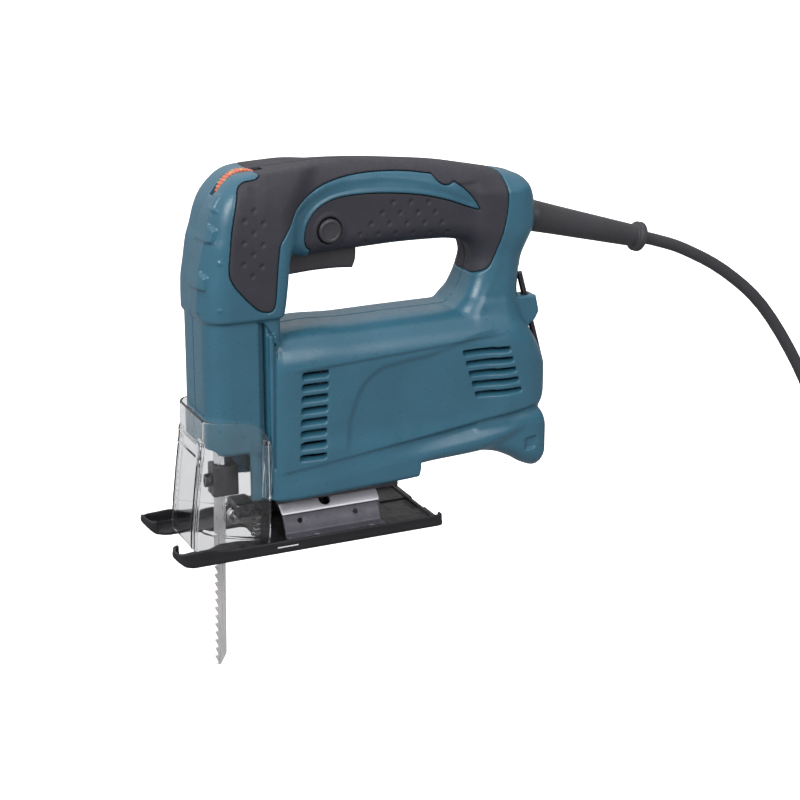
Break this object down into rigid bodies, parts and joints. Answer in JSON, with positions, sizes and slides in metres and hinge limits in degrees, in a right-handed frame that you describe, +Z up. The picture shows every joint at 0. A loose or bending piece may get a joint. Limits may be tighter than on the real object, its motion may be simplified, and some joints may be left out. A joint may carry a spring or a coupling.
{
  "type": "corded top-handle jigsaw",
  "caption": "Corded top-handle jigsaw with a reciprocating blade, tilting shoe, clear dust cover, thumb lock button, speed dial and mains cord.",
  "frame": {"origin": "underside of the shoe, on the parting plane, half way along the shoe", "axes": "+Z up out of the work, -Y towards the blade end, +Y towards the mains cord, +X to the tool's left"},
  "size_m": [0.1044, 0.517, 0.274],
  "materials": {
    "teal_plastic": "satin moulded glass-filled plastic",
    "soft_grip": "matt soft-touch elastomer",
    "cast_alloy": "as-cast",
    "dark_steel": "black-oxidised",
    "steel": "ground",
    "bright_steel": "bright",
    "copper_wire": "enamelled winding and turned copper",
    "brass_parts": "turned",
    "carbon": "pressed carbon",
    "black_nylon": "fine texture",
    "orange_plastic": "satin",
    "cord_rubber": "matt",
    "clear_plastic": "clear polycarbonate",
    "black_paint": "black enamel on pressed steel"
  },
  "bodies": {
    "housing": {"left_housing": "teal_plastic", "right_housing": "teal_plastic", "left_grip": "soft_grip", "right_grip": "soft_grip", "gear_housing": "cast_alloy", "housing_screw_1": "dark_steel", "housing_screw_2": "dark_steel", "housing_screw_3": "dark_steel", "housing_screw_4": "dark_steel", "housing_screw_5": "dark_steel", "stator_core": "steel", "field_coil_upper": "copper_wire", "field_coil_lower": "copper_wire", "front_bearing": "steel", "rear_bearing": "steel", "brush_holder_left": "brass_parts", "brush_holder_right": "brass_parts", "brush_left": "carbon", "brush_right": "carbon", "gear_shaft": "steel", "bushing_upper": "brass_parts", "bushing_lower": "brass_parts", "retainer_arm": "dark_steel", "roller_pin": "steel", "power_switch": "black_nylon", "speed_module": "black_nylon", "cord_clamp": "black_nylon", "cord_guard": "cord_rubber", "mains_cord": "cord_rubber", "cord_coil": "cord_rubber", "plug_body": "cord_rubber", "plug_pin_1": "bright_steel", "plug_pin_2": "bright_steel"},
    "armature": {"armature_shaft": "steel", "armature_core": "dark_steel", "commutator": "copper_wire", "cooling_fan": "black_nylon", "motor_pinion": "steel"},
    "crank": {"crank_gear": "steel", "crank_pin": "steel"},
    "plunger": {"plunger_rod": "bright_steel", "scotch_yoke": "steel", "blade_clamp": "dark_steel", "clamp_screw": "dark_steel", "saw_blade": "bright_steel"},
    "roller": {"guide_roller": "dark_steel"},
    "trigger_body": {"trigger": "black_nylon"},
    "button_body": {"lock_button": "black_nylon"},
    "dial_body": {"speed_dial": "orange_plastic"},
    "cover": {"dust_cover": "clear_plastic"},
    "base_clamp": {"clamp_bolt": "dark_steel", "clamp_washer": "steel", "nut_plate": "steel"},
    "shoe": {"shoe_plate": "black_paint", "bevel_arch": "bright_steel", "bevel_bracket": "steel"},
    "wrench": {"hex_wrench": "dark_steel"}
  },
  "joints": [
    {"name": "armature_spin", "type": "hinge", "parent": "housing", "child": "armature", "pos_m": [0, 0, 0.072], "axis": [0, 1, 0], "continuous": true},
    {"name": "gear_spin", "type": "hinge", "parent": "housing", "child": "crank", "pos_m": [0, 0, 0.0936], "axis": [0, 1, 0], "continuous": true},
    {"name": "plunger_stroke", "type": "slide", "parent": "housing", "child": "plunger", "axis": [0, 0, 1], "range_m": [0, 0.018]},
    {"name": "roller_spin", "type": "hinge", "parent": "housing", "child": "roller", "pos_m": [0, -0.0316, 0.012], "axis": [1, 0, 0], "continuous": true},
    {"name": "trigger_press", "type": "slide", "parent": "housing", "child": "trigger_body", "axis": [0, 0, 1], "range_m": [0, 0.006], "stiffness_N_per_m": 500, "springref_m": -0.003},
    {"name": "lock_button_press", "type": "slide", "parent": "housing", "child": "button_body", "axis": [-1, 0, 0], "range_m": [0, 0.0035], "stiffness_N_per_m": 400, "springref_m": -0.002},
    {"name": "speed_dial_turn", "type": "hinge", "parent": "housing", "child": "dial_body", "pos_m": [0, -0.024, 0.182], "axis": [1, 0, 0], "range_deg": [-130, 130]},
    {"name": "shoe_slide", "type": "slide", "parent": "housing", "child": "base_clamp", "axis": [0, 1, 0], "range_m": [0, 0.004]},
    {"name": "shoe_tilt", "type": "hinge", "parent": "base_clamp", "child": "shoe", "pos_m": [0, 0, 0], "axis": [0, 1, 0], "range_deg": [0, 45]},
    {"name": "dust_cover_raise", "type": "slide", "parent": "housing", "child": "cover", "axis": [0, 0, 1], "range_m": [0, 0.04]},
    {"name": "wrench_pull", "type": "slide", "parent": "housing", "child": "wrench", "axis": [0, 0.2671, -0.9637], "range_m": [0, 0.045]}
  ],
  "couplings": [
    {"joint": "gear_spin", "follows": "armature_spin", "ratio": -0.2},
    {"joint": "dust_cover_raise", "follows": "shoe_tilt", "m_per_rad": 0.0509}
  ]
}
